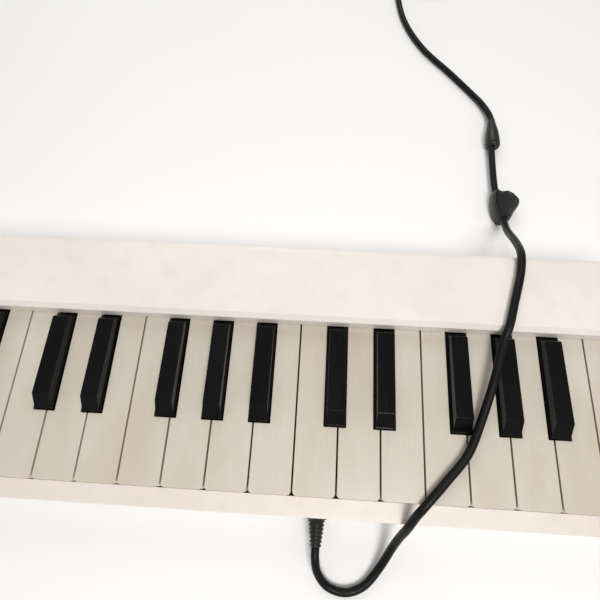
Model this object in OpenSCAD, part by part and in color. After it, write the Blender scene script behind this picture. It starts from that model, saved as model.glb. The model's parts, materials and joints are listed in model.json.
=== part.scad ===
// Melodica: a 32-note keyed reed instrument, F3 to C6, with a contact pickup and its lead.
// Millimetres. +X runs towards the high notes, +Y away from the player, +Z up.
// The origin is under the middle of the instrument, on the surface that it stands on.

/* [Keyboard] */
// Distance from one white key to the next
key_pitch = 20.5; // [19.5:0.1:22]
// Gap between two neighbouring white keys
key_gap = 0.9; // [0.7:0.1:1.2]
// Visible length of a white key
white_len = 82; // [72:1:96]
// Height of a white key's front face
white_front_h = 12; // [10.5:0.5:13]
// Radius of a white key's two front corners
white_corner = 1.8; // [1:0.1:2.4]
// Thickness of a white key's top plate
white_plate_t = 2.4; // [2:0.1:3]
// Visible length of a black key
black_len = 50; // [42:1:56]
// Width of a black key at its foot
black_foot_w = 9.8; // [9.2:0.1:10.6]
// Width of a black key's flat top
black_top_w = 8.2; // [7.4:0.1:8.8]
// Height of a black key's front edge above the white keys
black_front_h = 6.8; // [6:0.1:7.4]
// Height of a black key's back edge above the white keys
black_back_h = 5.6; // [4.6:0.1:6]
// How far a black key's front face slopes back
black_slope = 6.6; // [5:0.1:9]
// Gap beside a black key's foot
black_gap = 0.6; // [0.5:0.1:1]

/* [Case] */
// Height of the white keys' tops above the table
key_top = 37; // [36:0.5:42]
// Depth of the front rail
rail_d = 9.2; // [8.8:0.1:12]
// Gap between the front rail and the keys
front_gap = 0.8; // [0.6:0.1:1.2]
// Depth of the rear cover
cover_d = 42; // [41:1:55]
// Height of the rear cover's top above the white keys
cover_rise = 9.5; // [8.5:0.5:14]
// Width of each end cap
cap_w = 16; // [15:1:24]
// Thickness of the case's walls
wall = 2.4; // [2:0.1:2.8]
// Radius of the case's upright corners
case_corner = 7; // [4:0.5:9]
// Height of the bottom case's rim
rim_z = 21; // [20:0.5:22]
// Height of the rubber feet below the case
foot_h = 2; // [1:0.5:3]
// Gap left between case pieces that meet
seam = 0.15; // [0.1:0.05:0.25]

/* [Action] */
// Diameter of the key axle
axle_d = 2; // [1.8:0.1:2.2]
// Radial clearance of each key on the axle
axle_play = 0.05; // [0.02:0.01:0.1]
// Distance of the axle behind the cover's front edge
axle_back = 6; // [5.5:0.5:7]
// Width of a key's lever
lever_w = 7.6; // [7:0.1:7.8]
// Height of a key's lever
lever_h = 5; // [4.5:0.1:5.5]
// Length of a key's valve pad
pad_l = 13; // [11:0.5:14]
// Thickness of a key's valve pad
pad_t = 2.4; // [2:0.1:3]
// Thickness of the board that the pads close
board_t = 3; // [2.5:0.1:3.5]
// Thickness of the sheet of the key springs
spring_t = 0.5; // [0.3:0.05:0.6]

/* [Air and reeds] */
// Height of the air chamber
chamber_h = 16; // [15.5:0.5:17]
// Wall of the air chamber
chamber_wall = 1.8; // [1.5:0.1:2.2]
// Thickness of the reed plates
reed_plate_t = 1.2; // [1:0.1:1.4]
// Length of the lowest note's reed
reed_long = 15; // [13:0.5:16]
// Length of the highest note's reed
reed_short = 8; // [7:0.5:10]
// Bore of the mouthpiece and of the air inlet behind it
inlet_d = 6.4; // [5:0.1:7]
// Outer diameter of the mouthpiece's plug
mouth_plug_d = 12; // [11:0.5:13]
// Outer diameter of the mouthpiece's nose
mouth_nose_d = 10; // [9:0.5:11]
// How far the mouthpiece stands out of the end cap
mouth_out = 28; // [24:1:40]
// How far the water valve's button stands out of the end cap
valve_out = 3; // [3:0.5:4]

/* [Lead] */
// Diameter of the pickup's lead
lead_d = 4.2; // [3.8:0.1:4.4]

/* [Hidden] */
eps = 0.01;
$fn = 48;

// The keys, from the lowest up. A semitone of 0 is a C.
n_keys = 32;
first_semitone = 5;
first_octave = 3;
note_names = ["c", "c_sharp", "d", "d_sharp", "e", "f", "f_sharp", "g", "g_sharp", "a", "a_sharp", "b"];
// White keys before each semitone of an octave
whites_before = [0, 1, 1, 2, 2, 3, 4, 4, 5, 5, 6, 6];
// How far each black key stands right of the gap behind it, as a share of the pitch
black_shift = [0, -0.075, 0, 0.095, 0, 0, -0.12, 0, 0.012, 0, 0.134, 0];

function semitone(k) = (k + first_semitone) % 12;
function octave(k) = first_octave + floor((k + first_semitone) / 12);
function is_black(k) = len(search(semitone(k), [1, 3, 6, 8, 10])) > 0;
function key_name(k) = str("key_", note_names[semitone(k)], octave(k));
// White keys left of key k on this keyboard; for a black key, of the gap that it stands over
function white_place(k) =
    whites_before[semitone(k)] + 7 * floor((k + first_semitone) / 12) - whites_before[first_semitone];
n_white = white_place(n_keys - 1) + 1;

// Overall sizes
end_gap = 0.6;
bed_len = n_white * key_pitch + 2 * end_gap;
case_len = bed_len + 2 * cap_w;
case_d = rail_d + front_gap + white_len + cover_d;
// The mouthpiece and the button stand out by different amounts, so the case is off the middle
case_x = (mouth_out - valve_out) / 2;
bed_x0 = case_x - bed_len / 2;
bed_x1 = case_x + bed_len / 2;
keys_x0 = bed_x0 + end_gap;
case_front = -case_d / 2;
case_back = case_d / 2;
key_front = case_front + rail_d + front_gap;
cover_front = key_front + white_len;
rail_top = key_top - white_front_h;
cover_top = key_top + cover_rise;
floor_top = foot_h + wall;

// Air chamber and what lies on it
chamber_y0 = cover_front + 12;
chamber_y1 = case_back - wall - 2;
chamber_y = (chamber_y0 + chamber_y1) / 2;
chamber_x0 = bed_x0 + 0.5;
chamber_x1 = bed_x1 - 0.5;
chamber_low = floor_top + seam;
chamber_top = chamber_low + chamber_h;
air_z = chamber_low + chamber_h / 2;
gasket_t = 0.8;
gasket_w = 3.4;
board_z = chamber_top + gasket_t + reed_plate_t;
board_top = board_z + board_t;
window = [4.6, 9];

// Key action: the levers lie with their pads on the board
lever_z = board_top + pad_t;
lever_end = case_back - 9;
pad_y = lever_end - 1.5 - pad_l / 2;
axle_y = cover_front + axle_back;
axle_z = lever_z + lever_h / 2;
hub_r = 3.2;
root_l = 12;
skirt_below_rail = 1;
skirt_t = 1.2;
skirt_h = 6;
front_skirt_t = 2;
key_travel = 4;
felt_t = 2;
front_stop_z = rail_top - skirt_below_rail - key_travel;
bracket_t = 1.8;

// Mouthpiece and water valve
mouth_plug_l = 10;
slide_play = 0.05;
valve_stem_r = 1.5;
valve_head_r = 4.5;
valve_head_l = 5.5;
valve_recess = 5;

// Screws and feet
screw_r = 1.4;
screw_play = 0.06;
screw_head_r = 2.7;
screw_head_h = 1.8;
screw_l = 12;
screw_recess = 0.4;
flange_w = cap_w - 4;
foot_r = 6;
foot_inset = [24, 16];
foot_hole_h = 1;

// Lead: the points that it runs through, from its gland to its coil
lead_points = [
    [56, -81, 10], [56, -86, 10], [57.5, -93, 6.6], [63, -99.5, 2.8], [72, -101.5, 2.4],
    [81, -98, 2.6], [88.5, -89, 5], [93.5, -79, 12], [96, -73, 20], [98, -68.4, 28],
    [100.4, -63, 34.5], [104, -57.6, 39.2], [114, -46.5, 39.8], [124.4, -34, 40.2],
    [131.8, -17, 41.6], [137.8, 1, 44.7], [143, 19, 46.6], [145.6, 26.5, 48.9], [149, 38, 49],
    [153.6, 54, 49.2], [155.4, 64, 48.7], [157.2, 71.5, 44], [160.6, 83, 32.4], [164.4, 97.5, 17],
    [166.8, 110, 8.4], [164.8, 134, 5], [165.4, 169, 5], [167.4, 192, 4.8], [163.4, 206.5, 3.4],
    [156.6, 218, 2.4], [142, 237, 2.4], [122, 262, 2.4], [109, 290, 2.4], [104, 320, 2.4],
    [104, 344, 2.4]
];
lead_end = lead_points[len(lead_points) - 1];
lead_sides = 10;
coil_at = [lead_end.x + 27, lead_end.y + 11, 0.2];
coil_mean_r = 23;
coil_w = 3 * lead_d;
coil_h = 2 * lead_d;
gland_x = lead_points[0][0];
gland_z = lead_points[0][2];
gland_l = case_front - lead_points[0][1];
gland_r = 4.6;
// Where the sleeve and the clip sit, by the number of their first and last points
sleeve_span = [26, 27];
clip_span = [24, 25];
plug_from = [coil_at.x + 9, coil_at.y + 27.2, 5.4];

STRUCTURE = [
    "bottom_case", "front_rail", "left_end_cap", "right_end_cap", "rear_cover", "air_chamber",
    "chamber_gasket", "reed_plates", "reed_tongues", "valve_board", "key_axle", "axle_bracket",
    "key_guides", "front_felt", "key_springs", "mouthpiece", "water_valve_button",
    "water_valve_seal", "water_valve_spring", "case_screws", "rubber_feet", "pickup_disc",
    "lead_gland", "lead_run", "lead_sleeve", "lead_clip", "lead_coil", "lead_plug"
];

// ---- helpers ----

// A box from its low corner to its high corner
module span(low, high) {
    translate(low) cube(high - low);
}

// Points of a quarter circle about c, from angle a on, counter-clockwise
function arc(c, r, a, steps = 6) =
    [for (i = [0:steps]) c + r * [cos(a + 90 * i / steps), sin(a + 90 * i / steps)]];

// Outline of a rectangle from its low to its high corner, with four corner radii:
// front left, front right, back right, back left
function round_box(low, high, r) = concat(
    arc([low.x + r[0], low.y + r[0]], r[0], 180),
    arc([high.x - r[1], low.y + r[1]], r[1], 270),
    arc([high.x - r[2], high.y - r[2]], r[2], 0),
    arc([low.x + r[3], high.y - r[3]], r[3], 90)
);

// A side profile, drawn as [y, z] points, made w wide from x on
module along_x(x, w) {
    translate([x, 0, 0]) rotate([90, 0, 90]) linear_extrude(w) children();
}

// A cylinder along X from x on
module rod_x(x, l, r) {
    translate([x, 0, 0]) rotate([0, 90, 0]) cylinder(h = l, r = r);
}

// ---- keys ----

function gap_x(n) = keys_x0 + n * key_pitch;
function black_x(k) = gap_x(white_place(k)) + black_shift[semitone(k)] * key_pitch;
notch_half = black_foot_w / 2 + black_gap;
black_front = cover_front - black_len;
notch_front = black_front - black_gap;
// The sides of a white key, in front of the black keys and between them
function white_x0(k) = gap_x(white_place(k)) + key_gap / 2;
function white_x1(k) = gap_x(white_place(k) + 1) - key_gap / 2;
function neck_x0(k) = k > 0 && is_black(k - 1) ? black_x(k - 1) + notch_half : white_x0(k);
function neck_x1(k) = k < n_keys - 1 && is_black(k + 1) ? black_x(k + 1) - notch_half : white_x1(k);
// A white key's lever stands in the middle of the room between the black keys or the axle's plates
function room_x0(k) = neck_x0(k) > white_x0(k) ? neck_x0(k) : gap_x(white_place(k)) + bracket_t / 2;
function room_x1(k) = neck_x1(k) < white_x1(k) ? neck_x1(k) : gap_x(white_place(k) + 1) - bracket_t / 2;
function key_x(k) = is_black(k) ? black_x(k) : (room_x0(k) + room_x1(k)) / 2;

// Lever behind the keys' visible part, with its axle bore and its valve pad. A root of length root_l,
// from back forwards, joins it to the key's body, whose underside is at root_top
module lever(x, back, root_top) {
    front = back - root_l;
    span([x - lever_w / 2, front, lever_z], [x + lever_w / 2, back, root_top]);
    difference() {
        union() {
            span([x - lever_w / 2, front, lever_z], [x + lever_w / 2, lever_end, lever_z + lever_h]);
            translate([0, axle_y, axle_z]) rod_x(x - lever_w / 2, lever_w, hub_r);
            span([x - lever_w / 2, pad_y - pad_l / 2, lever_z - pad_t],
                 [x + lever_w / 2, pad_y + pad_l / 2, lever_z + eps]);
        }
        translate([0, axle_y, axle_z]) rod_x(x - lever_w, 2 * lever_w, axle_d / 2 + axle_play);
    }
}

module white_key(k) {
    plate_end = cover_front + 1;
    low = rail_top - skirt_below_rail;
    skirt_low = key_top - skirt_h;
    color("ivory") {
        difference() {
            translate([0, 0, low]) linear_extrude(key_top - low)
                polygon(round_box([white_x0(k), key_front], [white_x1(k), plate_end],
                                  [white_corner, white_corner, 0.01, 0.01]));
            // the hollow under the plate, open below
            span([white_x0(k) + skirt_t, key_front + front_skirt_t, low - 1],
                 [white_x1(k) - skirt_t, plate_end + 1, key_top - white_plate_t]);
            span([white_x0(k) - 1, key_front + front_skirt_t, low - 1],
                 [white_x1(k) + 1, plate_end + 1, skirt_low]);
            // room for the black keys beside it
            span([white_x0(k) - 1, notch_front, low - 1], [neck_x0(k), plate_end + 1, key_top + 1]);
            span([neck_x1(k), notch_front, low - 1], [white_x1(k) + 1, plate_end + 1, key_top + 1]);
        }
        lever(key_x(k), plate_end, key_top - white_plate_t + eps);
    }
}

// The raised part of a black key: sloped sides, a sloped front and a sloped back
module black_body(x) {
    back = cover_front - 1.4;
    step = 0.5;
    foot_z = key_top + 1.2;
    half_foot = black_foot_w / 2 - step;
    half_top = black_top_w / 2;
    hull() {
        span([x - half_foot, black_front + step, foot_z - 1], [x + half_foot, back, foot_z]);
        translate([x, black_front + black_slope, key_top + black_front_h - eps])
            rotate([-atan((black_front_h - black_back_h) / (black_len - black_slope)), 0, 0])
                translate([-half_top, 0, -eps])
                    cube([2 * half_top, black_len - black_slope - 3.6, 2 * eps]);
    }
}

module black_key(k) {
    x = black_x(k);
    back = cover_front - 1;
    foot_low = key_top - skirt_h;
    color("black") {
        difference() {
            union() {
                span([x - black_foot_w / 2, black_front, foot_low],
                     [x + black_foot_w / 2, back, key_top + 1.2]);
                black_body(x);
            }
            // the hollow that its guide post stands in
            span([x - black_foot_w / 2 + 2, black_front + 2.5, foot_low - 1],
                 [x + black_foot_w / 2 - 2, back - root_l, key_top + 1]);
        }
        lever(x, back, foot_low + 2);
    }
}

module key(k) {
    if (is_black(k)) black_key(k);
    else white_key(k);
}

// ---- case ----

module case_outline(inset = 0) {
    r = case_corner - inset;
    polygon(round_box([case_x - case_len / 2 + inset, case_front + inset],
                      [case_x + case_len / 2 - inset, case_back - inset], [r, r, r, r]));
}

// Where the screws stand: two under each end cap, then three under the front rail
cap_screw_x = flange_w - 5;
cap_screws = [
    for (x = [bed_x0 - cap_screw_x, bed_x1 + cap_screw_x], y = [case_front + 20, case_back - 28]) [x, y]
];
rail_screws = [for (i = [-1, 0, 1]) [case_x + i * bed_len / 3, case_front + 5.9]];
all_screws = concat(cap_screws, rail_screws);
feet = [
    for (x = [-1, 1], y = [-1, 1])
        [case_x + x * (bed_len / 2 - foot_inset.x), y * (case_d / 2 - foot_inset.y)]
];
screw_seat_z = foot_h + screw_head_h + screw_recess;

module screw_holes(points, r, low, high) {
    for (p = points) translate([p.x, p.y, low]) cylinder(h = high - low, r = r);
}

// Floor, front wall and back wall, with a flange under each end cap
module bottom_case() {
    color("whitesmoke") difference() {
        union() {
            span([bed_x0 + seam, case_front, foot_h], [bed_x1 - seam, case_back, floor_top]);
            span([bed_x0 - flange_w, case_front + wall + seam, foot_h],
                 [bed_x1 + flange_w, case_back - wall - seam, floor_top]);
            span([bed_x0 + seam, case_front, foot_h], [bed_x1 - seam, case_front + wall, rim_z]);
            span([bed_x0 + seam, case_back - wall, foot_h], [bed_x1 - seam, case_back, rim_z]);
            for (p = rail_screws) translate([p.x, p.y, foot_h]) cylinder(h = 6, r = 3.3);
        }
        screw_holes(all_screws, screw_r + screw_play, foot_h - 1, rim_z);
        screw_holes(all_screws, screw_head_r + 0.2, foot_h - 1, screw_seat_z);
        screw_holes(feet, foot_r + 0.05, foot_h - 1, foot_h + foot_hole_h);
        translate([gland_x, case_front - 1, gland_z]) rotate([-90, 0, 0])
            cylinder(h = wall + 2, r = gland_r + 0.05);
    }
}

// The narrow deck in front of the keys
module front_rail() {
    color("mistyrose") difference() {
        union() {
            span([bed_x0 + seam, case_front, rim_z + seam],
                 [bed_x1 - seam, case_front + rail_d, rail_top]);
            for (p = rail_screws)
                translate([p.x, p.y, foot_h + 6 + seam]) cylinder(h = rim_z - foot_h - 5, r = 3.1);
        }
        screw_holes(rail_screws, screw_r + screw_play, foot_h, screw_seat_z + screw_l + 1);
    }
}

// The cover's top edge as [y, z] points, from the back forwards
cover_round = 5;
cover_edge = [
    [case_back, cover_top - cover_round], [case_back - 1.5, cover_top - 1.5],
    [case_back - cover_round, cover_top], [cover_front + 2.5, cover_top], [cover_front, cover_top - 2]
];
cheek_rise = 1.6;
cheek_hollow = cap_w - 7;

// An end cap's side profile: low rail, cheek beside the keys, then the cover's height
module cap_profile() {
    cheek = key_top + cheek_rise;
    polygon([
        [case_front, foot_h], [case_back, foot_h], each cover_edge,
        [cover_front - 4, cheek + 1], [cover_front - 9, cheek],
        [key_front + 6, cheek], [key_front, cheek - 3], [key_front - 3, rail_top + 1.5],
        [key_front - 5, rail_top], [case_front, rail_top]
    ]);
}

// A box that is cut into an end cap from x on, by a signed depth, between two [y, z] corners
module recess(x, depth, low, high) {
    span([min(x, x + depth) - eps, low[0], low[1]], [max(x, x + depth) + eps, high[0], high[1]]);
}

// x_in is the face that meets the bed and x_out the outer face
module end_cap(x_in, x_out) {
    low = min(x_in, x_out);
    out = sign(x_out - x_in);
    difference() {
        intersection() {
            along_x(low, abs(x_out - x_in)) cap_profile();
            linear_extrude(cover_top + 1) case_outline();
        }
        // room for the bottom case's flange
        recess(x_in, out * (flange_w + seam), [case_front + wall, 0], [case_back - wall, floor_top + seam]);
        // hollow cheek
        recess(x_in, out * cheek_hollow, [case_front + 32, floor_top - 1], [cover_front - 14, key_top - 3]);
        screw_holes(cap_screws, screw_r + screw_play, foot_h, screw_seat_z + screw_l + 1);
        translate([0, axle_y, axle_z]) rod_x(x_in - 3, 6, axle_d / 2 + axle_play);
        children();
    }
}

cap_x0 = bed_x0 - cap_w;
cap_x1 = bed_x1 + cap_w;

module left_end_cap() {
    color("whitesmoke") end_cap(bed_x0, cap_x0) translate([0, chamber_y, air_z]) {
        rod_x(cap_x0 - 1, mouth_plug_l + 1.2, mouth_plug_d / 2 + slide_play);
        rod_x(cap_x0, cap_w + 1, spigot_r + slide_play);
    }
}

module right_end_cap() {
    color("whitesmoke") end_cap(bed_x1, cap_x1) translate([0, chamber_y, air_z]) {
        rod_x(cap_x1 - valve_recess, valve_recess + 1, valve_head_r + 0.3);
        rod_x(bed_x1 - 1, cap_w, valve_stem_r + slide_play);
        // where the water runs out
        translate([0, 0, -air_z]) translate([bed_x1 + 1.5, 0, 0]) cylinder(h = air_z, r = 1.2);
        rod_x(bed_x1 - 1, 3, 3.6);
    }
}

// The cover over the levers, with hooks that hold it to the bottom case
module rear_cover() {
    hook = [10, 1.4, 6];
    color("whitesmoke") {
        along_x(bed_x0 + seam, bed_len - 2 * seam) difference() {
            polygon([
                [cover_front, key_top + 0.8], [cover_front + wall, key_top + 0.8],
                [cover_front + wall, cover_top - cover_round], [case_back - wall, cover_top - cover_round],
                [case_back - wall, rim_z + seam], [case_back, rim_z + seam], each cover_edge
            ]);
            polygon([
                [cover_front + wall, cover_top - cover_round - 1],
                [case_back - wall, cover_top - cover_round - 1],
                [case_back - wall - 0.6, cover_top - wall - 1.4],
                [case_back - cover_round - 0.4, cover_top - wall],
                [cover_front + wall + 1.6, cover_top - wall], [cover_front + wall, cover_top - wall - 1.6]
            ]);
        }
        for (i = [-2:2])
            translate([case_x + i * bed_len / 5.4 - hook.x / 2, case_back - wall - hook.y - seam,
                       rim_z - hook.z])
                union() {
                    cube(hook);
                    translate([0, 0, hook.z]) cube([hook.x, hook.y + seam + eps, 3]);
                }
    }
}

// ---- air chamber and reeds ----

spigot_r = inlet_d / 2 + 1.4;

module air_chamber() {
    low = [chamber_x0, chamber_y0, chamber_low];
    high = [chamber_x1, chamber_y1, chamber_top];
    t = chamber_wall;
    spigot_l = chamber_x0 - cap_x0 - mouth_plug_l - 0.4;
    color("gainsboro") difference() {
        union() {
            span(low, high);
            translate([0, chamber_y, air_z]) rod_x(chamber_x0 - spigot_l, spigot_l + 1, spigot_r);
        }
        span(low + [t, t, t], high + [-t, -t, 1]);
        translate([0, chamber_y, air_z]) {
            rod_x(chamber_x0 - spigot_l - 1, spigot_l + 1 + 2 * t, inlet_d / 2);
            rod_x(chamber_x1 - 2 * t, 4 * t, 2.4);
        }
    }
}

// A flat frame that seals the reed plates to the chamber
module chamber_gasket() {
    color("dimgray") difference() {
        span([chamber_x0, chamber_y0, chamber_top], [chamber_x1, chamber_y1, chamber_top + gasket_t]);
        span([chamber_x0 + gasket_w, chamber_y0 + gasket_w, 0],
             [chamber_x1 - gasket_w, chamber_y1 - gasket_w, chamber_top + 2]);
    }
}

function reed_len(k) = reed_long + (reed_short - reed_long) * k / (n_keys - 1);
function reed_tip(k) = chamber_y - reed_len(k) / 2;
reed_w = 2.4;
reed_t = 0.4;
rivet_r = 0.9;
plate_split = key_x(n_keys / 2 - 1) / 2 + key_x(n_keys / 2) / 2;

// Two brass plates, low notes and high notes, with one slot for each reed
module reed_plates() {
    z0 = chamber_top + gasket_t;
    color("goldenrod") difference() {
        union() {
            span([chamber_x0, chamber_y0, z0], [plate_split - seam, chamber_y1, z0 + reed_plate_t]);
            span([plate_split + seam, chamber_y0, z0], [chamber_x1, chamber_y1, z0 + reed_plate_t]);
        }
        for (k = [0:n_keys - 1]) {
            span([key_x(k) - reed_w / 2, reed_tip(k), z0 - 1],
                 [key_x(k) + reed_w / 2, reed_tip(k) + reed_len(k) - 3, z0 + 2]);
            translate([key_x(k), reed_tip(k) + reed_len(k) - 1.5, z0 - 1])
                cylinder(h = reed_plate_t + 2, r = rivet_r + 0.02);
        }
    }
}

// A thin tongue under each slot, held by its rivet
module reed_tongues() {
    z0 = chamber_top + gasket_t;
    color("khaki") for (k = [0:n_keys - 1]) {
        span([key_x(k) - reed_w / 2 + 0.1, reed_tip(k) + 0.1, z0 - reed_t - 0.02],
             [key_x(k) + reed_w / 2 - 0.1, reed_tip(k) + reed_len(k), z0 - 0.02]);
        translate([key_x(k), reed_tip(k) + reed_len(k) - 1.5, z0 - 0.1])
            cylinder(h = reed_plate_t, r = rivet_r, $fn = 24);
    }
}

// The board that the pads close, with one window for each key
module valve_board() {
    color("gainsboro") difference() {
        span([chamber_x0, chamber_y0, board_z], [chamber_x1, chamber_y1, board_top]);
        for (k = [0:n_keys - 1])
            span([key_x(k) - window.x / 2, pad_y - window.y / 2, board_z - 1],
                 [key_x(k) + window.x / 2, pad_y + window.y / 2, board_top + 1]);
    }
}

// ---- action ----

module key_axle() {
    color("silver") translate([0, axle_y, axle_z]) rod_x(bed_x0 - 2.5, bed_len + 5, axle_d / 2);
}

// Gaps between two white keys that have no black key over them
plain_gaps = [
    for (k = [1:n_keys - 1]) if (!is_black(k) && !is_black(k - 1)) gap_x(white_place(k))
];

// Plates that carry the axle between the ends, on one foot
module axle_bracket() {
    y0 = axle_y - 3.6;
    y1 = axle_y + 3.6;
    color("silver") difference() {
        union() {
            span([bed_x0 + 2, y0, chamber_low], [bed_x1 - 2, y1, chamber_low + 1.6]);
            for (x = plain_gaps)
                span([x - bracket_t / 2, y0, chamber_low], [x + bracket_t / 2, y1, axle_z + 3]);
        }
        translate([0, axle_y, axle_z]) rod_x(bed_x0, bed_len, axle_d / 2 + axle_play);
    }
}

ledge_end = key_front + 6;

// Posts that keep the keys straight, and the ledge under the front felt
module key_guides() {
    post = [3, 5];
    base_z = floor_top + seam;
    base_t = 1.6;
    color("gainsboro") {
        span([bed_x0 + 2, key_front + front_gap, base_z], [bed_x1 - 2, black_front + 16, base_z + base_t]);
        span([bed_x0 + 2, key_front + front_gap, base_z], [bed_x1 - 2, ledge_end, front_stop_z - felt_t]);
        for (k = [0:n_keys - 1]) {
            x = is_black(k) ? black_x(k) : (white_x0(k) + white_x1(k)) / 2;
            y = is_black(k) ? black_front + 8 : key_front + 12;
            top = is_black(k) ? key_top - 4.6 : key_top - white_plate_t - 4.6;
            span([x - post.x / 2, y, base_z], [x + post.x / 2, y + post.y, top]);
        }
    }
}

module front_felt() {
    color("firebrick") span([bed_x0 + 2, key_front + front_gap, front_stop_z - felt_t + 0.02],
                            [bed_x1 - 2, ledge_end, front_stop_z - 0.3]);
}

// A stamped comb: a foot on the valve board and one finger over each lever
module key_springs() {
    y1 = chamber_y1 - 0.4;
    rise_z = lever_z + lever_h + 3.5;
    tip = [pad_y + 1, lever_z + lever_h + 0.05];
    t = spring_t;
    color("silver") {
        span([chamber_x0 + 2, lever_end + 0.8, board_top + 0.02], [chamber_x1 - 2, y1, board_top + 0.02 + t]);
        for (k = [0:n_keys - 1]) along_x(key_x(k) - 1.5, 3) polygon([
            [y1, board_top + 0.02], [y1, rise_z], [y1 - 1.5, rise_z + 1], [tip.x, tip.y + t],
            [tip.x, tip.y], [tip.x + 0.6, tip.y], [y1 - 1.5 - t, rise_z + 0.2], [y1 - t, rise_z - 0.6],
            [y1 - t, board_top + 0.02]
        ]);
    }
}

// ---- mouthpiece and water valve ----

// A plug that seats in the left end cap, a collar, and a nose that a blow tube slips over
module mouthpiece() {
    nose_l = 20;
    collar_l = mouth_out - nose_l;
    bore_r = inlet_d / 2;
    color("ghostwhite") translate([cap_x0, chamber_y, air_z]) rotate([0, -90, 0]) rotate_extrude()
        polygon([
            [bore_r, 0.3 - mouth_plug_l], [mouth_plug_d / 2, 0.3 - mouth_plug_l], [mouth_plug_d / 2, 0.1],
            [mouth_plug_d / 2 + 2.4, 0.1], [mouth_plug_d / 2 + 2.8, 0.8], [mouth_plug_d / 2 + 2.8, 2.6],
            [mouth_plug_d / 2 + 2, 3.6], [mouth_nose_d / 2 + 0.6, collar_l], [mouth_nose_d / 2, collar_l],
            [mouth_nose_d / 2, mouth_out - 4], [mouth_nose_d / 2 - 0.8, mouth_out], [bore_r, mouth_out]
        ]);
}

module water_valve_button() {
    color("gainsboro") translate([0, chamber_y, air_z]) {
        rod_x(cap_x1 + valve_out - valve_head_l, valve_head_l, valve_head_r);
        rod_x(chamber_x1 - chamber_wall - 2.4, cap_x1 + valve_out - 1 - chamber_x1 + chamber_wall + 2.4,
              valve_stem_r);
    }
}

// A rubber disc on the stem's inner end, against the inside of the chamber's wall
module water_valve_seal() {
    color("dimgray") translate([0, chamber_y, air_z]) difference() {
        rod_x(chamber_x1 - chamber_wall - 2, 1.98, 4.2);
        rod_x(chamber_x1 - chamber_wall - 3, 5, valve_stem_r + 0.02);
    }
}

// A coil spring under the button's head
module water_valve_spring() {
    wire = 0.5;
    x0 = cap_x1 - valve_recess + 0.05;
    x1 = cap_x1 + valve_out - valve_head_l - 0.05;
    turns = 4;
    color("silver") translate([x0, chamber_y, air_z]) rotate([0, 90, 0])
        for (i = [0:turns - 1])
            translate([0, 0, wire / 2 + i * (x1 - x0 - wire) / (turns - 1)])
                rotate_extrude($fn = 24) translate([3, 0]) circle(r = wire / 2, $fn = 13);
}

// ---- fasteners and feet ----

module case_screws() {
    color("silver") for (p = all_screws) translate([p.x, p.y, 0]) {
        difference() {
            union() {
                translate([0, 0, screw_seat_z - screw_head_h]) cylinder(h = screw_head_h, r = screw_head_r);
                translate([0, 0, screw_seat_z - eps]) cylinder(h = screw_l, r = screw_r);
            }
            for (a = [0, 90]) translate([0, 0, screw_seat_z - screw_head_h]) rotate([0, 0, a])
                cube([3, 0.7, 1.4], center = true);
        }
    }
}

module rubber_feet() {
    color("dimgray") for (p = feet) translate([p.x, p.y, 0]) {
        translate([0, 0, 0.6]) cylinder(h = foot_h + foot_hole_h - 0.6, r = foot_r);
        cylinder(h = 0.61, r = foot_r - 0.6);
    }
}

// ---- pickup and lead ----

module pickup_disc() {
    color("goldenrod") translate([gland_x, case_front + wall + 0.1, gland_z]) rotate([-90, 0, 0])
        cylinder(h = 1.6, r = 5.5);
}

// A bush in the front wall, with a ribbed taper round the lead
module lead_gland() {
    flange = 1.6;
    tip_r = lead_d / 2 + 0.6;
    color("black") translate([gland_x, case_front, gland_z]) rotate([90, 0, 0]) rotate_extrude()
        polygon([
            [0, -wall], [gland_r, -wall], [gland_r, 0.05], [gland_r + 1, 0.05], [gland_r + 1, flange],
            [gland_r - 0.6, flange], [gland_r - 1, flange + 0.6], [tip_r, gland_l - 0.05], [0, gland_l - 0.05]
        ]);
}

function unit(v) = v / norm(v);
// A point on the smooth curve through p0..p3, between p1 and p2
function spline(p0, p1, p2, p3, t) = 0.5 * (
    2 * p1 + (p2 - p0) * t + (2 * p0 - 5 * p1 + 4 * p2 - p3) * t * t
    + (3 * p1 - p0 - 3 * p2 + p3) * t * t * t
);
function point_at(i) = lead_points[max(0, min(len(lead_points) - 1, i))];
// The lead's centre line, in steps of at most ring_gap
ring_gap = 9;
lead_line = [
    for (i = [0:len(lead_points) - 2])
        let (steps = ceil(norm(point_at(i + 1) - point_at(i)) / ring_gap))
            for (j = [0:steps - 1])
                spline(point_at(i - 1), point_at(i), point_at(i + 1), point_at(i + 2), j / steps),
    lead_end
];
function heading(line, i) = unit(line[min(i + 1, len(line) - 1)] - line[max(i - 1, 0)]);
function side_of(d) = unit(cross(abs(d.z) < 0.9 ? [0, 0, 1] : [1, 0, 0], d));
function ring(line, i, r, n) = let (d = heading(line, i), a = side_of(d), b = cross(d, a))
    [for (j = [0:n - 1]) line[i] + r * (cos(360 * j / n) * a + sin(360 * j / n) * b)];

// A closed tube round a line of points; radii holds its radius at each
module tube(line, radii, n) {
    last = len(line) - 1;
    polyhedron(
        points = [for (i = [0:last]) each ring(line, i, radii[i], n)],
        faces = concat(
            [[for (j = [0:n - 1]) j]],
            [[for (j = [n - 1:-1:0]) last * n + j]],
            [for (i = [0:last - 1], j = [0:n - 1]) let (m = (j + 1) % n)
                each [[i * n + j, (i + 1) * n + j, (i + 1) * n + m], [i * n + j, (i + 1) * n + m, i * n + m]]]
        ),
        convexity = 10
    );
}

module lead_run() {
    color("black") tube(lead_line, [for (p = lead_line) lead_d / 2], lead_sides);
}

// A bead moulded round the lead, with its thickness over the lead at even steps along it
module bead(from, to, thickness) {
    line = [for (i = [0:len(thickness) - 1]) from + (to - from) * i / (len(thickness) - 1)];
    tube(line, [for (t = thickness) lead_d / 2 + t], 16);
}

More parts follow.
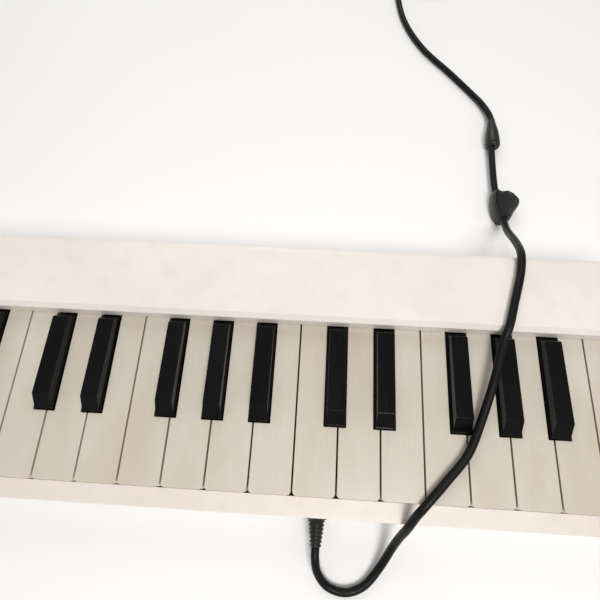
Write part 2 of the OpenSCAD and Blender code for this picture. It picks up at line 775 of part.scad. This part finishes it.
module lead_sleeve() {
    a = lead_points[sleeve_span[0]];
    b = lead_points[sleeve_span[1]];
    color("black") bead(a, b, [0.7, 1.5, 2.3, 2.5, 2.3, 1.3, 0.7]);
}

module lead_clip() {
    a = lead_points[clip_span[0]];
    b = lead_points[clip_span[1]];
    screw_at = [(a.x + b.x) / 2 + 6, (a.y + b.y) / 2, 0.2];
    color("black") {
        bead(a, b, [0.9, 2.3, 3.1, 3.1, 2.3, 0.9]);
        translate(screw_at) cylinder(h = 8.4, r = 5);
    }
}

module lead_coil() {
    color("black") translate(coil_at) rotate_extrude()
        polygon(round_box([coil_mean_r - coil_w / 2, 0], [coil_mean_r + coil_w / 2, coil_h],
                          [1.5, 1.5, 1.5, 1.5]));
}

// A moulded 3.5 mm jack plug lying beside the coil
module lead_plug() {
    color("black") translate(plug_from) rotate([0, 90, 0]) rotate_extrude() polygon([
        [0, 0], [lead_d / 2 + 0.5, 0], [lead_d / 2 + 1.2, 12], [4.6, 13], [5.1, 15], [5.1, 31], [4.5, 33],
        [2.6, 33.4], [2.6, 34.6], [1.75, 34.6], [1.75, 46], [1.2, 47.4], [1.6, 48.2], [0.6, 49.6], [0, 49.6]
    ]);
}

// ---- one node at a time, or all of them ----

bottom_case();
front_rail();
left_end_cap();
right_end_cap();
rear_cover();
air_chamber();
chamber_gasket();
reed_plates();
reed_tongues();
valve_board();
key_axle();
axle_bracket();
key_guides();
front_felt();
key_springs();
mouthpiece();
water_valve_button();
water_valve_seal();
water_valve_spring();
case_screws();
rubber_feet();
pickup_disc();
lead_gland();
lead_run();
lead_sleeve();
lead_clip();
lead_coil();
lead_plug();
for (k = [0:n_keys - 1])
    key(k);
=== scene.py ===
"""Looks for a 32-note melodica: its pickup lead, fittings, materials, floor, light and camera.

Everything is in metres, in the part's own frame: +X towards the high notes, +Y away from the player, +Z up.
"""

import json
import math

import bpy
from mathutils import Matrix, Vector


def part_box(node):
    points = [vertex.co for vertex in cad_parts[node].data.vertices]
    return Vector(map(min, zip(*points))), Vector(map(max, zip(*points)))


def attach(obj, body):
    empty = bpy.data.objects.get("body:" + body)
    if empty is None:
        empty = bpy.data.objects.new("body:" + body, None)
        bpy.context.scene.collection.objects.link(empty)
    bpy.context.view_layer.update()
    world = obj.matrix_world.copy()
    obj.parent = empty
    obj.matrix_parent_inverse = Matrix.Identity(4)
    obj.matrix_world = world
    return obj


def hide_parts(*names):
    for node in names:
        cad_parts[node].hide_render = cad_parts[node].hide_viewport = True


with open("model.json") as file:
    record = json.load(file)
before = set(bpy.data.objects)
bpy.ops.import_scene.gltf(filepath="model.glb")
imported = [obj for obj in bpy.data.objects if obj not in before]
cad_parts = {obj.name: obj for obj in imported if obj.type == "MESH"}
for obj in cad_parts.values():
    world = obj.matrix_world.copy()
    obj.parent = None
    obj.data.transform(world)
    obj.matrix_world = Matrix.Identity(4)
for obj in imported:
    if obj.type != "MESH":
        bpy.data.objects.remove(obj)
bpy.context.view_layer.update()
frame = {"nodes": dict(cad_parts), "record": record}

MM = 0.001

# ---- the lead's driving values ----

LEAD_D = 0.0042
LEAD_R = LEAD_D / 2

# From the gland, over the rail, the keys and the cover, to where the coil starts.
# The CAD source has the same points in millimetres.
LEAD_POINTS = [
    (0.0560, -0.0810, 0.0100), (0.0560, -0.0860, 0.0100), (0.0575, -0.0930, 0.0066),
    (0.0630, -0.0995, 0.0028), (0.0720, -0.1015, 0.0024), (0.0810, -0.0980, 0.0026),
    (0.0885, -0.0890, 0.0050), (0.0935, -0.0790, 0.0120), (0.0960, -0.0730, 0.0200),
    (0.0980, -0.0684, 0.0280), (0.1004, -0.0630, 0.0345), (0.1040, -0.0576, 0.0392),
    (0.1140, -0.0465, 0.0398), (0.1244, -0.0340, 0.0402), (0.1318, -0.0170, 0.0416),
    (0.1378, 0.0010, 0.0447), (0.1430, 0.0190, 0.0466), (0.1456, 0.0265, 0.0489),
    (0.1490, 0.0380, 0.0490), (0.1536, 0.0540, 0.0492), (0.1554, 0.0640, 0.0487),
    (0.1572, 0.0715, 0.0440), (0.1606, 0.0830, 0.0324), (0.1644, 0.0975, 0.0170),
    (0.1668, 0.1100, 0.0084), (0.1648, 0.1340, 0.0050), (0.1654, 0.1690, 0.0050),
    (0.1674, 0.1920, 0.0048), (0.1634, 0.2065, 0.0034), (0.1566, 0.2180, 0.0024),
    (0.1420, 0.2370, 0.0024), (0.1220, 0.2620, 0.0024), (0.1090, 0.2900, 0.0024),
    (0.1040, 0.3200, 0.0024), (0.1040, 0.3440, 0.0024),
]

# The numbers of the lead's points that the clip and the sleeve sit between
CLIP_POINTS = (24, 25)
SLEEVE_POINTS = (26, 27)

# The coil's centre, at the height of its underside. The radius is that of a layer's middle turn,
# and a step is the part of a turn in which the lead moves in, up or out by its own diameter.
COIL_AT = Vector((0.131, 0.355, 0.0002))
COIL_MEAN_R = 0.023
COIL_TURNS = 5.25
POINTS_PER_TURN = 16
LAYER_TURNS = 3
STEP_TURNS = 0.25

# Where the plug's boot begins; the plug points along +X
PLUG_AT = Vector((0.140, 0.3822, 0.0054))


# ---- camera ----

# The lens is assumed, and the place of the eye goes with it
LENS_MM = 27.0
SENSOR_MM = 36.0
EYE = Vector((0.0505, -0.0433, 0.262))
LOOKED_AT = Vector((0.0417, 0.0388, 0.037))
PICTURE_UP = Vector((-0.0589, 0.998, 0.0))


def add_camera():
    """A camera at the angle that the instrument was photographed from."""
    data = bpy.data.cameras.new("camera")
    data.lens = LENS_MM
    data.sensor_width = SENSOR_MM
    data.clip_start = 0.01
    forward = (LOOKED_AT - EYE).normalized()
    right = forward.cross(PICTURE_UP).normalized()
    up = right.cross(forward)
    camera = bpy.data.objects.new("camera", data)
    turn = Matrix((right, up, -forward)).transposed().to_4x4()
    camera.matrix_world = Matrix.Translation(EYE) @ turn
    bpy.context.scene.collection.objects.link(camera)
    bpy.context.scene.camera = camera


# ---- material helpers ----

# Places of the Mix node's colour sockets, whose names its other modes' sockets share
MIX_FACTOR = 0
MIX_A = 6
MIX_B = 7
MIX_RESULT = 2


class Finish:
    """A material under construction: its shader, and short calls that add detail to one of its inputs."""

    def __init__(self, name, colour, roughness, metallic=0.0):
        self.material = bpy.data.materials.new(name)
        self.material.use_nodes = True
        self.tree = self.material.node_tree
        self.shader = next(n for n in self.tree.nodes if n.type == "BSDF_PRINCIPLED")
        self.colour = colour
        self.set("Base Color", (*colour, 1.0))
        self.set("Roughness", roughness)
        self.set("Metallic", metallic)
        self.place = self.tree.nodes.new("ShaderNodeTexCoord").outputs["Object"]
        self.bump = None

    def set(self, socket, value):
        """A value that is the same all over goes straight on the shader's own socket."""
        self.shader.inputs[socket].default_value = value
        return self

    def stretched(self, stretch):
        """Object coordinates, drawn out by a factor along each axis."""
        mapping = self.tree.nodes.new("ShaderNodeMapping")
        mapping.inputs["Scale"].default_value = stretch
        self.tree.links.new(self.place, mapping.inputs["Vector"])
        return mapping.outputs["Vector"]

    def noise(self, size, detail=3.0, stretch=(1.0, 1.0, 1.0), seed=0.0):
        """A smooth random pattern, with features about size metres across."""
        noise = self.tree.nodes.new("ShaderNodeTexNoise")
        noise.noise_dimensions = "4D"
        noise.inputs["Scale"].default_value = 1.0 / size
        noise.inputs["Detail"].default_value = detail
        noise.inputs["W"].default_value = seed
        self.tree.links.new(self.stretched(stretch), noise.inputs["Vector"])
        return noise.outputs["Fac"]

    def tint(self, other, pattern, low=0.35, high=0.65):
        """Moves the base colour towards another colour where the pattern is high."""
        base = self.shader.inputs["Base Color"]
        mix = self.tree.nodes.new("ShaderNodeMix")
        mix.data_type = "RGBA"
        mix.inputs[MIX_A].default_value = (*self.colour, 1.0)
        mix.inputs[MIX_B].default_value = (*other, 1.0)
        if base.is_linked:
            self.tree.links.new(base.links[0].from_socket, mix.inputs[MIX_A])
        self.tree.links.new(self.ranged(pattern, low, high, 0.0, 1.0), mix.inputs[MIX_FACTOR])
        self.tree.links.new(mix.outputs[MIX_RESULT], base)
        return self

    def ranged(self, pattern, low, high, to_low, to_high):
        """The pattern, spread from low..high onto another range and held inside it."""
        spread = self.tree.nodes.new("ShaderNodeMapRange")
        ends = {"From Min": low, "From Max": high, "To Min": to_low, "To Max": to_high}
        for socket, value in ends.items():
            spread.inputs[socket].default_value = value
        self.tree.links.new(pattern, spread.inputs["Value"])
        return spread.outputs["Result"]

    def vary(self, socket, pattern, low, high):
        """Lets a pattern drive one of the shader's inputs between two values."""
        self.tree.links.new(self.ranged(pattern, 0.3, 0.7, low, high), self.shader.inputs[socket])
        return self

    def relief(self, pattern, depth, strength=1.0):
        """Raises the surface by up to depth metres where the pattern is high."""
        bump = self.tree.nodes.new("ShaderNodeBump")
        bump.inputs["Distance"].default_value = depth
        bump.inputs["Strength"].default_value = strength
        self.tree.links.new(pattern, bump.inputs["Height"])
        if self.bump:
            self.tree.links.new(self.bump, bump.inputs["Normal"])
        self.bump = bump.outputs["Normal"]
        self.tree.links.new(self.bump, self.shader.inputs["Normal"])
        return self


def moulded(name, colour, shade, roughness, grain=0.0006, depth=0.00002):
    """Moulded plastic: a faint cloudy tint, a satin sheen that varies, and a fine pebbled skin."""
    finish = Finish(name, colour, roughness)
    finish.set("Specular IOR Level", 0.5)
    finish.tint(shade, finish.noise(0.045, 4.0))
    finish.tint(tuple(0.95 * c for c in shade), finish.noise(0.009, 5.0, seed=3.0), 0.5, 0.85)
    finish.vary("Roughness", finish.noise(0.012, 4.0, seed=7.0), roughness - 0.07, roughness + 0.09)
    finish.relief(finish.noise(grain, 2.0, seed=11.0), depth)
    return finish


# ---- one material for each slot of the record ----


def white_key_finish():
    """Ivory plastic, yellowed a little in patches, with fine playing scratches along the keys."""
    finish = Finish("white_key", (0.575, 0.515, 0.43), 0.3)
    finish.set("Coat Weight", 0.25)
    finish.set("Coat Roughness", 0.18)
    finish.tint((0.645, 0.595, 0.515), finish.noise(0.03, 3.0, (1.0, 0.3, 1.0)))
    finish.tint((0.545, 0.48, 0.38), finish.noise(0.011, 5.0, (1.0, 0.5, 1.0), seed=4.0), 0.56, 0.9)
    scratches = finish.noise(0.0012, 5.0, (1.0, 0.06, 1.0), seed=9.0)
    finish.vary("Roughness", scratches, 0.24, 0.42)
    finish.relief(scratches, 0.000012)
    return finish


def black_key_finish():
    """Polished black plastic with hairline scratches and a trace of dust."""
    finish = Finish("black_key", (0.0022, 0.0025, 0.0027), 0.2)
    finish.set("Specular IOR Level", 0.17)
    finish.tint((0.0045, 0.0048, 0.005), finish.noise(0.018, 4.0, (1.0, 0.4, 1.0)))
    finish.tint((0.022, 0.021, 0.020), finish.noise(0.0009, 2.0, seed=5.0), 0.74, 0.88)
    hairlines = finish.noise(0.0009, 5.0, (1.0, 0.05, 1.0), seed=8.0)
    finish.vary("Roughness", hairlines, 0.14, 0.3)
    finish.relief(hairlines, 0.000008)
    return finish


def brass_finish(name, colour, roughness):
    """Rolled brass with a grain along X and a little tarnish."""
    finish = Finish(name, colour, roughness, metallic=1.0)
    grain = finish.noise(0.0006, 4.0, (0.05, 1.0, 1.0))
    finish.tint((0.48, 0.33, 0.15), finish.noise(0.008, 5.0, seed=2.0), 0.5, 0.85)
    finish.vary("Roughness", grain, roughness - 0.06, roughness + 0.12)
    finish.relief(grain, 0.00001)
    return finish


def steel_finish(name, colour, roughness):
    """Brushed steel, with its grain along X and faint darker handling marks."""
    finish = Finish(name, colour, roughness, metallic=1.0)
    grain = finish.noise(0.0004, 4.0, (0.04, 1.0, 1.0))
    finish.tint(tuple(0.7 * c for c in colour), finish.noise(0.006, 4.0, seed=6.0), 0.5, 0.9)
    finish.vary("Roughness", grain, roughness - 0.05, roughness + 0.12)
    finish.relief(grain, 0.000008)
    return finish


def rubber_finish(name, colour, roughness):
    """Dull rubber with a powdery bloom and a fine uneven skin."""
    finish = Finish(name, colour, roughness)
    finish.set("Specular IOR Level", 0.35)
    finish.tint(tuple(2.2 * c for c in colour), finish.noise(0.005, 5.0), 0.5, 0.85)
    finish.vary("Roughness", finish.noise(0.003, 4.0, seed=2.0), roughness - 0.08, roughness + 0.1)
    finish.relief(finish.noise(0.0005, 3.0, seed=5.0), 0.00003)
    return finish


def felt_finish():
    """Pressed red wool: tufted, matt, with a soft sheen."""
    finish = Finish("felt", (0.36, 0.035, 0.035), 0.95)
    finish.set("Sheen Weight", 0.5)
    finish.set("Sheen Roughness", 0.6)
    finish.tint((0.20, 0.02, 0.02), finish.noise(0.0012, 6.0), 0.4, 0.7)
    finish.relief(finish.noise(0.0004, 6.0, seed=4.0), 0.0003)
    return finish


def jacket_finish():
    """The lead's satin black jacket, with slight scuffs and a fine extruded skin."""
    finish = Finish("lead_jacket", (0.0035, 0.0036, 0.0038), 0.42)
    finish.set("Specular IOR Level", 0.2)
    finish.tint((0.008, 0.008, 0.0085), finish.noise(0.010, 5.0), 0.45, 0.8)
    finish.vary("Roughness", finish.noise(0.004, 4.0, seed=3.0), 0.34, 0.56)
    finish.relief(finish.noise(0.0007, 3.0, seed=6.0), 0.00003)
    return finish


def make_finishes():
    """Every finish by the name of its slot."""
    cream = (0.86, 0.815, 0.77)
    return {
        "case_plastic": moulded("case_plastic", cream, (0.82, 0.77, 0.72), 0.36),
        "rail_plastic": moulded("rail_plastic", (0.88, 0.82, 0.775), (0.85, 0.78, 0.73), 0.34),
        "white_key": white_key_finish(),
        "black_key": black_key_finish(),
        "inner_plastic": moulded("inner_plastic", (0.58, 0.57, 0.55), (0.5, 0.49, 0.47), 0.55),
        "mouth_plastic": moulded("mouth_plastic", (0.84, 0.82, 0.78), (0.78, 0.75, 0.7), 0.32),
        "button_plastic": moulded("button_plastic", (0.5, 0.5, 0.51), (0.42, 0.42, 0.43), 0.36),
        "gasket_rubber": rubber_finish("gasket_rubber", (0.05, 0.05, 0.05), 0.75),
        "foot_rubber": rubber_finish("foot_rubber", (0.035, 0.035, 0.035), 0.8),
        "reed_brass": brass_finish("reed_brass", (0.75, 0.56, 0.28), 0.34),
        "tongue_brass": brass_finish("tongue_brass", (0.83, 0.66, 0.35), 0.22),
        "steel": steel_finish("steel", (0.60, 0.60, 0.61), 0.3),
        "spring_steel": steel_finish("spring_steel", (0.52, 0.53, 0.55), 0.24),
        "felt": felt_finish(),
        "lead_jacket": jacket_finish(),
        "lead_fittings": moulded(
            "lead_fittings", (0.004, 0.0042, 0.004), (0.008, 0.0085, 0.008), 0.42, 0.0008, 0.00004
        ),
    }


# ---- mesh helpers ----


def new_mesh(name, points, faces):
    """A new object, with a mesh of these points and faces."""
    mesh = bpy.data.meshes.new(name)
    mesh.from_pydata(points, [], faces)
    return bpy.data.objects.new(name, mesh)


def ring_faces(rings, count, closed=False):
    """The quads from each ring of count points to the next, and from the last to the first if closed."""
    total = rings * count
    faces = []
    for ring in range(rings if closed else rings - 1):
        for i in range(count):
            a = ring * count + i
            b = ring * count + (i + 1) % count
            faces.append((a, b, (b + count) % total, (a + count) % total))
    return faces


def dress(piece, finishes, slot):
    """Puts a new piece in the scene with its slot's finish. It rides on the case, as the lead does."""
    bpy.context.scene.collection.objects.link(piece)
    piece.data.materials.append(finishes[slot].material)
    if piece.type == "MESH":
        piece.data.shade_smooth()
    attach(piece, "case")
    return piece


def rounded(piece, width, segments=3, angle=35.0):
    """Rounds a mesh's hard edges, and keeps its flat faces flat to the eye."""
    bevel = piece.modifiers.new("round", "BEVEL")
    bevel.width = width
    bevel.segments = segments
    bevel.limit_method = "ANGLE"
    bevel.angle_limit = math.radians(angle)
    bevel.miter_outer = "MITER_ARC"
    normals = piece.modifiers.new("normals", "WEIGHTED_NORMAL")
    normals.keep_sharp = False
    normals.weight = 80
    return piece


def lathe(name, profile, start, axis, sides=40):
    """A solid turned round an axis from start; profile is (distance along it, radius), in metres."""
    axis = Vector(axis).normalized()
    across = axis.cross(Vector((0, 0, 1)) if abs(axis.z) < 0.9 else Vector((1, 0, 0))).normalized()
    other = axis.cross(across)
    points = []
    for along, radius in profile:
        for i in range(sides):
            angle = 2 * math.pi * i / sides
            round_axis = across * math.cos(angle) + other * math.sin(angle)
            points.append(Vector(start) + axis * along + round_axis * radius)
    faces = ring_faces(len(profile), sides)
    faces.append(tuple(reversed(range(sides))))
    faces.append(tuple(range(len(points) - sides, len(points))))
    return new_mesh(name, points, faces)


def ribbed(start, end, r_start, r_end, ribs, depth):
    """A lathe profile that tapers from one radius to another, with ribs between two distances."""
    profile = []
    pitch = (end - start) / ribs
    for i in range(ribs):
        radius = r_start + (r_end - r_start) * i / max(ribs - 1, 1)
        at = start + i * pitch
        profile += [(at, radius), (at + 0.5 * pitch, radius), (at + 0.6 * pitch, radius - depth)]
        profile += [(at + 0.9 * pitch, radius - depth)]
    return profile


# ---- the lead ----


def smooth_step(value, start, end):
    """0 before start, 1 after end, and a gentle rise between."""
    t = min(max((value - start) / (end - start), 0.0), 1.0)
    return t * t * (3 - 2 * t)


def coil_points():
    """Three turns inwards on the table, a rise by one diameter, then outwards again on top of them."""
    points = []
    for i in range(round(COIL_TURNS * POINTS_PER_TURN) + 1):
        turn = i / POINTS_PER_TURN
        ends_in = range(1, LAYER_TURNS)
        steps_in = sum(smooth_step(turn, end - STEP_TURNS, end) for end in ends_in)
        rise = smooth_step(turn, LAYER_TURNS - STEP_TURNS, LAYER_TURNS)
        starts_out = [LAYER_TURNS + 0.5 + n for n in range(LAYER_TURNS - 1)]
        steps_out = sum(smooth_step(turn, start, start + STEP_TURNS) for start in starts_out)
        radius = COIL_MEAN_R + LEAD_D * (1 - steps_in + steps_out)
        angle = math.pi - 2 * math.pi * turn
        height = LEAD_D * (0.5 + rise)
        points.append(COIL_AT + Vector((radius * math.cos(angle), radius * math.sin(angle), height)))
    return points


def tail_points():
    """From the coil's last turn into the plug's boot."""
    return [PLUG_AT + Vector((-0.0045, 0, 0.0003)), PLUG_AT + Vector((0.001, 0, 0))]


def smooth_tube(name, points, radius):
    """A round tube: a curve of one open spline that runs smoothly through every point."""
    data = bpy.data.curves.new(name, "CURVE")
    data.dimensions = "3D"
    data.bevel_depth = radius
    data.bevel_resolution = 5
    data.resolution_u = 6
    data.use_fill_caps = True
    spline = data.splines.new("BEZIER")
    spline.bezier_points.add(len(points) - 1)
    for i, knot in enumerate(spline.bezier_points):
        before = points[max(i - 1, 0)]
        after = points[min(i + 1, len(points) - 1)]
        knot.handle_left_type = "FREE"
        knot.handle_right_type = "FREE"
        knot.co = points[i]
        knot.handle_left = points[i] - (after - before) / 6
        knot.handle_right = points[i] + (after - before) / 6
    return bpy.data.objects.new(name, data)


def lead_point(i):
    """One of the lead's points, as a vector."""
    return Vector(LEAD_POINTS[i])


def add_lead(finishes):
    """The jacket of the whole lead, from the gland to the plug."""
    points = [Vector(point) for point in LEAD_POINTS] + coil_points() + tail_points()
    lead = dress(smooth_tube("lead_cord", points, LEAD_R), finishes, "lead_jacket")
    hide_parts("lead_run", "lead_coil")
    return lead


def add_gland(finishes):
    """The bush in the front wall, with a ribbed strain relief that tapers to the lead."""
    low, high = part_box("lead_gland")
    start = Vector(((low.x + high.x) / 2, high.y, (low.z + high.z) / 2))
    wall_face_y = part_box("bottom_case")[0].y
    wall = start.y - wall_face_y
    length = high.y - low.y + 0.0003
    profile = [(0.0, 0.0046), (wall, 0.0046), (wall, 0.0053), (wall + 0.0005, 0.0056)]
    profile += [(wall + 0.0012, 0.0056), (wall + 0.0016, 0.0050)]
    profile += ribbed(wall + 0.0020, length - 0.0012, 0.0041, 0.0030, 6, 0.0006)
    profile += [(length - 0.0010, 0.0028), (length - 0.0003, 0.0027), (length, 0.0023)]
    gland = dress(lathe("gland", profile, start, (0, -1, 0)), finishes, "lead_fittings")
    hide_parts("lead_gland")
    return gland


def add_sleeve(finishes):
    """A moulded sleeve on the lead: a blunt near end that tapers away into the jacket."""
    near, far = (lead_point(i) for i in SLEEVE_POINTS)
    near = near + Vector((0.001, 0, 0))
    span = (far - near).length
    # Share of the span, and radius in mm
    shape = [(0.0, 2.5), (0.0, 3.6), (0.03, 4.3), (0.08, 4.7), (0.16, 4.8), (0.3, 4.7), (0.42, 4.5)]
    shape += [(0.55, 4.2), (0.68, 3.7), (0.8, 3.1), (0.9, 2.7), (1.0, 2.35), (1.04, 2.2)]
    profile = [(share * span, radius * MM) for share, radius in shape]
    sleeve = dress(lathe("sleeve", profile, near, far - near), finishes, "lead_fittings")
    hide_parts("lead_sleeve")
    return sleeve


def add_clip(finishes):
    """A smooth clip that grips the lead along one side and widens into a thumb tab on the other."""
    middle = (lead_point(CLIP_POINTS[0]) + lead_point(CLIP_POINTS[1])) / 2
    # The outline seen from above, in mm from the middle, and the x in mm that it shrinks towards
    shrinks_to = 2.6
    outline = [
        (-1.5, -13.2), (-4.6, -6.5), (-5.2, 1.0), (-4.6, 8.0), (-2.6, 12.4), (1.2, 9.4), (5.4, 11.2),
        (9.6, 8.8), (13.6, 3.4), (12.4, -0.6), (8.2, -5.0), (5.6, -12.6),
    ]
    # Height above the table, and the share of the outline's size there
    levels = [(0.0008, 0.86), (0.0022, 0.98), (0.0062, 1.0), (0.0092, 0.94), (0.0106, 0.80)]
    points = []
    for height, share in levels:
        for x, y in outline:
            out = shrinks_to + (x - shrinks_to) * share
            points.append((middle.x + out * MM, middle.y + y * share * MM, height))
    count = len(outline)
    faces = ring_faces(len(levels), count)
    faces.append(tuple(range(count)))
    faces.append(tuple(reversed(range(len(points) - count, len(points)))))
    clip = dress(new_mesh("clip", points, faces), finishes, "lead_fittings")
    smooth = clip.modifiers.new("smooth", "SUBSURF")
    smooth.levels = 2
    smooth.render_levels = 2
    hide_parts("lead_clip")
    return clip


def add_plug(finishes):
    """The jack plug: a moulded body with a ribbed boot and grip, and a metal tip with two dark rings."""
    boot = ribbed(0.0, 0.012, 0.0029, 0.0035, 5, 0.0005)
    grip = ribbed(0.0165, 0.0295, 0.0051, 0.0051, 8, 0.0003)
    shape = [(0.0125, 0.0042), (0.0135, 0.0047), (0.0150, 0.0051), *grip, (0.0305, 0.0051)]
    shape += [(0.0318, 0.0049), (0.0330, 0.0043)]
    body = dress(lathe("plug_body", boot + shape, PLUG_AT, (1, 0, 0)), finishes, "lead_fittings")
    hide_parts("lead_plug")
    tip_shape = [(0.0328, 0.0026), (0.0345, 0.0026), (0.0346, 0.00175), (0.0457, 0.00175)]
    tip_shape += [(0.0466, 0.00135), (0.0472, 0.00120), (0.0480, 0.00155), (0.0488, 0.00125)]
    tip_shape += [(0.0494, 0.00075), (0.0496, 0.0002)]
    tip = dress(lathe("plug_tip", tip_shape, PLUG_AT, (1, 0, 0)), finishes, "steel")
    rings = []
    for i, at in enumerate((0.0375, 0.0415)):
        shape = [(at, 0.00170), (at, 0.00182), (at + 0.0007, 0.00182), (at + 0.0007, 0.00170)]
        rings.append(dress(lathe(f"plug_ring_{i}", shape, PLUG_AT, (1, 0, 0)), finishes, "lead_fittings"))
    return [body, tip, *rings]


def add_tie(finishes):
    """The strap that holds the coil together, round its bundle of turns."""
    half_w = 1.5 * LEAD_D + 0.0003
    low, high = 0.0006, COIL_AT.z + 2 * LEAD_D + 0.0003
    corner = 0.0015
    thick = 0.0006
    width = 0.007
    steps = 5
    centre = Vector((COIL_AT.x + COIL_MEAN_R, COIL_AT.y, 0))
    # Each corner's arc: its hub, and the angle that it starts at
    right, left = half_w - corner, corner - half_w
    top, bottom = high - corner, low + corner
    corners = [(right, top, 0), (left, top, 90), (left, bottom, 180), (right, bottom, 270)]
    section = [(corner, -1), (corner, 1), (corner + thick, 1), (corner + thick, -1)]
    points = []
    for x, z, start in corners:
        hub = centre + Vector((x, 0, z))
        for i in range(steps):
            angle = math.radians(start + 90 * i / (steps - 1))
            out = Vector((math.cos(angle), 0, math.sin(angle)))
            points += [hub + out * radius + Vector((0, side * width / 2, 0)) for radius, side in section]
    faces = ring_faces(len(corners) * steps, len(section), closed=True)
    return rounded(dress(new_mesh("coil_tie", points, faces), finishes, "lead_fittings"), 0.0002, 2)


def add_lead_and_fittings(finishes):
    """The lead and what it carries, built as one cord that leaves through the gland."""
    lead = add_lead(finishes)
    add_gland(finishes)
    carried = [add_sleeve(finishes), add_clip(finishes), add_tie(finishes), *add_plug(finishes)]


# ---- the carried-over CAD nodes ----

# Edge rounding by node, in metres, for the parts that show; keys are matched by how their names start
EDGE_ROUND = {
    "key_": 0.0005,
    "front_rail": 0.0008,
    "bottom_case": 0.0006,
    "left_end_cap": 0.0009,
    "right_end_cap": 0.0009,
    "rear_cover": 0.0007,
    "mouthpiece": 0.0003,
    "water_valve_button": 0.0004,
    "rubber_feet": 0.0004,
}
KEPT_HARD = ("key_axle", "key_guides", "key_springs")


def edge_round(node):
    """How far a node's hard edges are rounded, or 0 where they stay as they are."""
    if node in KEPT_HARD:
        return 0.0
    return next((width for start, width in EDGE_ROUND.items() if node.startswith(start)), 0.0)


def soften(piece, width):
    """Joins a CAD mesh's split corners and flat triangles, then rounds its edges."""
    weld = piece.modifiers.new("weld", "WELD")
    weld.merge_threshold = 2e-6
    flatten = piece.modifiers.new("flatten", "DECIMATE")
    flatten.decimate_type = "DISSOLVE"
    flatten.angle_limit = math.radians(1.5)
    if "custom_normal" in piece.data.attributes:
        piece.data.attributes.remove(piece.data.attributes["custom_normal"])
    piece.data.shade_smooth()
    rounded(piece, width, 3, 30.0)


def dress_cad_nodes(finishes):
    """Gives every CAD node its slot's finish, and rounds the edges of those that show."""
    slots = {part["node"]: part["material_slot"] for part in frame["record"]["subparts"]}
    for node, piece in frame["nodes"].items():
        piece.data.materials.clear()
        piece.data.materials.append(finishes[slots[node]].material)
        width = edge_round(node)
        if width:
            soften(piece, width)


# ---- floor and light ----


def add_floor():
    """A plain pale table top, just below the instrument's feet."""
    half = 3.0
    height = -0.0001
    corners = [(-half, -half), (half, -half), (half, half), (-half, half)]
    floor = new_mesh("floor", [(x, y, height) for x, y in corners], [(0, 1, 2, 3)])
    bpy.context.scene.collection.objects.link(floor)
    finish = Finish("floor", (0.93, 0.93, 0.925), 0.75)
    finish.tint((0.95, 0.95, 0.948), finish.noise(0.4, 2.0))
    floor.data.materials.append(finish.material)


def add_lamp(name, place, target, size, power, colour):
    """A soft square lamp that faces its target."""
    data = bpy.data.lights.new(name, "AREA")
    data.shape = "SQUARE"
    data.size = size
    data.energy = power
    data.color = colour
    lamp = bpy.data.objects.new(name, data)
    away = Vector(place) - Vector(target)
    lamp.matrix_world = Matrix.Translation(place) @ away.to_track_quat("Z", "Y").to_matrix().to_4x4()
    bpy.context.scene.collection.objects.link(lamp)


def add_light():
    """An even pale sky, a main soft lamp over the player's right and a broad one behind."""
    scene = bpy.context.scene
    scene.view_settings.view_transform = "Standard"
    world = bpy.data.worlds.new("studio")
    world.use_nodes = True
    sky = world.node_tree.nodes["Background"]
    sky.inputs["Color"].default_value = (1.0, 0.985, 0.965, 1.0)
    sky.inputs["Strength"].default_value = 0.36
    scene.world = world
    middle = (0.02, 0.0, 0.03)
    add_lamp("lamp_main", (0.22, -0.40, 0.95), middle, 0.4, 6.9, (1.0, 0.98, 0.95))
    add_lamp("lamp_back", (-0.1, 0.95, 0.85), middle, 0.7, 4.2, (1.0, 0.99, 0.97))


# ---- the scene, in order ----

add_camera()
FINISHES = make_finishes()
add_lead_and_fittings(FINISHES)
dress_cad_nodes(FINISHES)
add_floor()
add_light()
